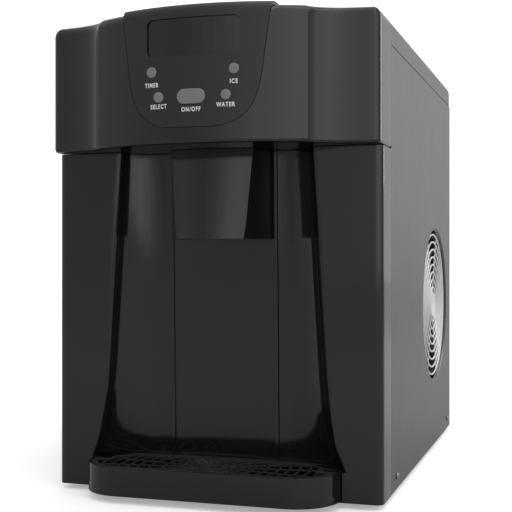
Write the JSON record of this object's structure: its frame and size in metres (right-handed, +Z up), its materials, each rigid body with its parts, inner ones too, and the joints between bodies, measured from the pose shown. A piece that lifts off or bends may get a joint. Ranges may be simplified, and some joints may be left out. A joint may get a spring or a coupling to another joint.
{
  "type": "countertop ice maker",
  "caption": "Countertop ice maker with an overhanging control head, a dispensing bay with a drip tray, a lid on top and a side fan outlet.",
  "frame": {"origin": "middle of the whole part's box, on the worktop under the feet", "axes": "+Z up, -Y towards the user (front), +X to the user's right"},
  "size_m": [0.3026, 0.4592, 0.4232],
  "materials": {
    "gloss_black": "high gloss black ABS",
    "panel_black": "satin black control panel",
    "window_smoke": "smoked clear acrylic",
    "sheet_black": "satin black powder coat",
    "key_grey": "satin grey",
    "inner_black": "moulded black",
    "guard_silver": "silver-white",
    "liner_white": "food-grade white",
    "inner_grey": "moulded grey",
    "steel": "plain steel",
    "copper": "copper tube",
    "aluminium": "mill finish",
    "board_green": "circuit board",
    "rubber": "black rubber",
    "compressor_black": "black painted steel"
  },
  "bodies": {
    "root": {"front_fascia": "gloss_black", "head_cover": "gloss_black", "control_panel": "panel_black", "display_window": "window_smoke", "display_module": "inner_black", "control_board": "board_green", "spout_housing": "gloss_black", "ice_chute": "inner_black", "flap_pin": "steel", "water_nozzle": "steel", "right_side_panel": "sheet_black", "left_side_panel": "sheet_black", "rear_panel": "sheet_black", "base_pan": "sheet_black", "top_cover": "sheet_black", "hinge_pin_left": "steel", "hinge_pin_right": "steel", "foot_front_left": "rubber", "foot_front_right": "rubber", "foot_rear_left": "rubber", "foot_rear_right": "rubber", "ice_liner": "liner_white", "ice_hopper": "inner_grey", "auger_motor": "inner_black", "evaporator": "steel", "trough_motor": "inner_black", "water_tank": "liner_white", "water_pump": "inner_black", "water_hose": "liner_white", "drain_outlet": "inner_black", "compressor": "compressor_black", "compressor_grommet_1": "rubber", "compressor_grommet_2": "rubber", "compressor_grommet_3": "rubber", "condenser": "aluminium", "discharge_pipe": "copper", "fan_guard": "guard_silver", "fan_shroud": "inner_black", "fan_motor": "steel", "partition": "aluminium", "deck_plate": "aluminium", "power_board": "board_green", "power_inlet": "inner_black"},
    "timer_key": {"timer_button": "key_grey"},
    "ice_key": {"ice_button": "key_grey"},
    "select_key": {"select_button": "key_grey"},
    "water_key": {"water_button": "key_grey"},
    "power_key": {"power_button": "key_grey"},
    "ice_flap": {"chute_flap": "inner_black"},
    "tray": {"drip_tray": "gloss_black"},
    "grille": {"drip_grille": "gloss_black"},
    "lid": {"lid_frame": "gloss_black", "lid_window": "window_smoke"},
    "fan": {"fan_blade": "inner_black"},
    "ice_auger": {"auger": "inner_grey"},
    "trough": {"water_trough": "liner_white"},
    "drain_plug": {"drain_cap": "rubber"}
  },
  "joints": [
    {"name": "timer_press", "type": "slide", "parent": "root", "child": "timer_key", "axis": [0, 1, 0], "range_m": [0, 0.0012], "stiffness_N_per_m": 300, "springref_m": -0.003},
    {"name": "ice_press", "type": "slide", "parent": "root", "child": "ice_key", "axis": [0, 1, 0], "range_m": [0, 0.0012], "stiffness_N_per_m": 300, "springref_m": -0.003},
    {"name": "select_press", "type": "slide", "parent": "root", "child": "select_key", "axis": [0, 1, 0], "range_m": [0, 0.0012], "stiffness_N_per_m": 300, "springref_m": -0.003},
    {"name": "water_press", "type": "slide", "parent": "root", "child": "water_key", "axis": [0, 1, 0], "range_m": [0, 0.0012], "stiffness_N_per_m": 300, "springref_m": -0.003},
    {"name": "power_press", "type": "slide", "parent": "root", "child": "power_key", "axis": [0, 1, 0], "range_m": [0, 0.0012], "stiffness_N_per_m": 300, "springref_m": -0.003},
    {"name": "flap_swing", "type": "hinge", "parent": "root", "child": "ice_flap", "pos_m": [0, -0.16426, 0.2457], "axis": [1, 0, 0], "range_deg": [0, 75], "stiffness_Nm_per_rad": 0.01, "springref_deg": -20.05},
    {"name": "tray_slide", "type": "slide", "parent": "root", "child": "tray", "axis": [0, -1, 0], "range_m": [0, 0.075]},
    {"name": "grille_lift", "type": "slide", "parent": "tray", "child": "grille", "axis": [0, 0, 1], "range_m": [0, 0.03]},
    {"name": "lid_swing", "type": "hinge", "parent": "root", "child": "lid", "pos_m": [0, 0.09525, 0.413], "axis": [-1, 0, 0], "range_deg": [0, 100]},
    {"name": "fan_spin", "type": "hinge", "parent": "root", "child": "fan", "pos_m": [0.13, 0.10865, 0.159], "axis": [1, 0, 0], "continuous": true},
    {"name": "auger_spin", "type": "hinge", "parent": "root", "child": "ice_auger", "pos_m": [0, -0.05935, 0.3328], "axis": [0, 1, 0], "continuous": true},
    {"name": "trough_tilt", "type": "hinge", "parent": "root", "child": "trough", "pos_m": [0, 0.07055, 0.403], "axis": [1, 0, 0], "range_deg": [0, 70]},
    {"name": "drain_pull", "type": "slide", "parent": "root", "child": "drain_plug", "axis": [0, 1, 0], "range_m": [0, 0.03]}
  ]
}
